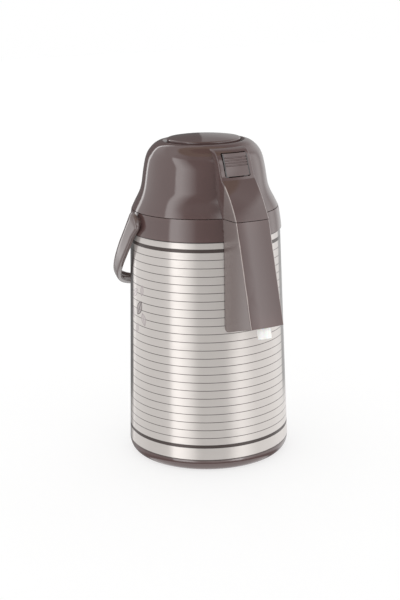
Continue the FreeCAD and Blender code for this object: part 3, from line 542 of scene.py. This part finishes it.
# panels round the pot, as (degrees to the right of the camera's own direction, brightness)
LOW = ((-180, 0.15), (-140, 0.25), (-138, 2.9), (-133, 2.9), (-131, 1.0), (-116, 1.05), (-106, 1.05),
       (-57, 1.05), (-53, 2.9), (-42, 2.8), (-30, 1.8), (-13, 0.42), (0, 0.32), (30, 0.32), (42, 1.0),
       (51, 2.3), (59, 2.0), (72, 1.45), (122, 1.7), (135, 0.9), (146, 1.1), (156, 1.0), (166, 0.7),
       (180, 0.4))
GROUND = ((-180, 0.55), (-149, 0.55), (-145, 1.0), (-134, 1.1), (-131, 1.7), (-110, 1.6), (-92, 1.3),
          (-57, 1.2), (-53, 3.1), (-40, 3.1), (-28, 2.1), (-14, 1.3), (0, 1.25), (32, 1.25), (44, 1.7),
          (52, 2.6), (60, 2.2), (72, 1.5), (125, 1.6), (160, 1.3), (172, 0.9), (180, 0.2))
DEEP = ((-180, 0.4), (-149, 0.4), (-131, 0.7), (-72, 0.7), (-57, 0.9), (-53, 3.6), (-36, 4.0), (-27, 3.6),
        (-18, 1.8), (-12, 1.1), (0, 1.4), (24, 1.5), (31, 2.6), (38, 4.6), (48, 4.8), (54, 2.2), (62, 1.7),
        (75, 1.2), (140, 1.2), (180, 0.4))
HIGH = ((-180, 0.3), (-140, 0.6), (-60, 1.1), (-20, 0.7), (0, 0.45), (60, 0.4), (100, 0.8), (180, 0.3))
FOOT_SHADE = 0.25                     # brightness of the dark belt low down, and of the table below it
TABLE_SHADE = 1.35
CEILING = (0.09, 0.08, 0.055, 1)
ZENITH = (0.035, 0.03, 0.02, 1)
# heights of view, as sines, over which one belt of the room gives way to the next one up
FOOT_ABOVE = (-0.73, -0.67)
DEEP_ABOVE = (-0.60, -0.48)
GROUND_ABOVE = (-0.42, -0.30)
LOW_ABOVE = (-0.34, -0.12)
HIGH_ABOVE = (0.60, 0.70)
CEILING_ABOVE = (0.84, 0.88)
ZENITH_ABOVE = (0.95, 0.98)


def studio_floor():
    corners = [(-FLOOR_HALF, -FLOOR_HALF, 0), (FLOOR_HALF, -FLOOR_HALF, 0),
               (FLOOR_HALF, FLOOR_HALF, 0), (-FLOOR_HALF, FLOOR_HALF, 0)]
    floor = mesh_object("studio_floor", corners, [(0, 1, 2, 3)])
    s = material("pale_floor")
    base = s.mix(s.noise(FLOOR_CLOUD), *map(grey, FLOOR_GREYS))
    s.surface(Base_Color=base, Roughness=0.7, Emission_Color=grey(1.0), Emission_Strength=FLOOR_GLOW)
    floor.data.materials.append(s.owner)
    floor.visible_glossy = False


def studio_light():
    """Soft white room. Shiny surfaces see it as panels round the pot, which change with height."""
    world = bpy.data.worlds.new("studio")
    bpy.context.scene.world = world
    s = Shader(world)
    way = s.add("ShaderNodeTexCoord").outputs["Generated"]
    to_camera = (-math.sin(VIEW_AZIMUTH), -math.cos(VIEW_AZIMUTH), 0.0)
    to_right = (math.cos(VIEW_AZIMUTH), -math.sin(VIEW_AZIMUTH), 0.0)

    def along(direction):
        return s.add("ShaderNodeVectorMath", {0: way, 1: direction}, operation="DOT_PRODUCT").outputs["Value"]

    turn = s.math("ARCTAN2", along(to_right), along(to_camera))
    up = s.axes(way)["Z"]
    slant = s.math("MULTIPLY", s.math("MAXIMUM", s.math("SUBTRACT", up, LEAN_FROM), 0.0), LEAN)
    place = s.span(s.math("ADD", turn, slant), -math.pi, math.pi, smooth=False)

    def panels(stops):
        return s.ramp(place, [((degrees + 180) / 360, grey(level / LIGHT_TOP)) for degrees, level in stops])

    room = s.mix(s.span(up, *LOW_ABOVE), panels(GROUND), panels(LOW))
    room = s.mix(s.span(up, *GROUND_ABOVE), panels(DEEP), room)
    room = s.mix(s.span(up, *DEEP_ABOVE), grey(FOOT_SHADE / LIGHT_TOP), room)
    room = s.mix(s.span(up, *FOOT_ABOVE), grey(TABLE_SHADE / LIGHT_TOP), room)
    room = s.mix(s.span(up, *HIGH_ABOVE), room, panels(HIGH))
    room = s.mix(s.span(up, *CEILING_ABOVE), room, CEILING)
    room = s.mix(s.span(up, *ZENITH_ABOVE), room, ZENITH)
    glossy = s.add("ShaderNodeBackground", {"Color": room, "Strength": LIGHT_TOP}).outputs[0]
    plain = s.add("ShaderNodeBackground", {"Color": grey(1.0), "Strength": 1.0}).outputs[0]
    path = s.add("ShaderNodeLightPath")
    mixed = s.add("ShaderNodeMixShader", {0: path.outputs["Is Glossy Ray"], 1: plain, 2: glossy}).outputs[0]
    s.add("ShaderNodeOutputWorld", {"Surface": mixed})


def camera():
    lens = bpy.data.cameras.new("camera")
    lens.lens = VIEW_LENS
    lens.clip_end = 50.0
    made = bpy.data.objects.new("camera", lens)
    bpy.context.scene.collection.objects.link(made)
    side, ahead = math.sin(VIEW_AZIMUTH), math.cos(VIEW_AZIMUTH)
    made.location = (VIEW_ASIDE * ahead - VIEW_DISTANCE * side, -VIEW_ASIDE * side - VIEW_DISTANCE * ahead,
                     VIEW_HEIGHT)
    look = Vector((side * math.cos(VIEW_PITCH), ahead * math.cos(VIEW_PITCH), -math.sin(VIEW_PITCH)))
    turn = look.to_track_quat("-Z", "Y").to_matrix() @ Matrix.Rotation(VIEW_ROLL, 3, "Z")
    made.rotation_euler = turn.to_euler()
    bpy.context.scene.camera = made


studio_floor()
studio_light()
camera()
bpy.context.scene.view_settings.view_transform = "Standard"
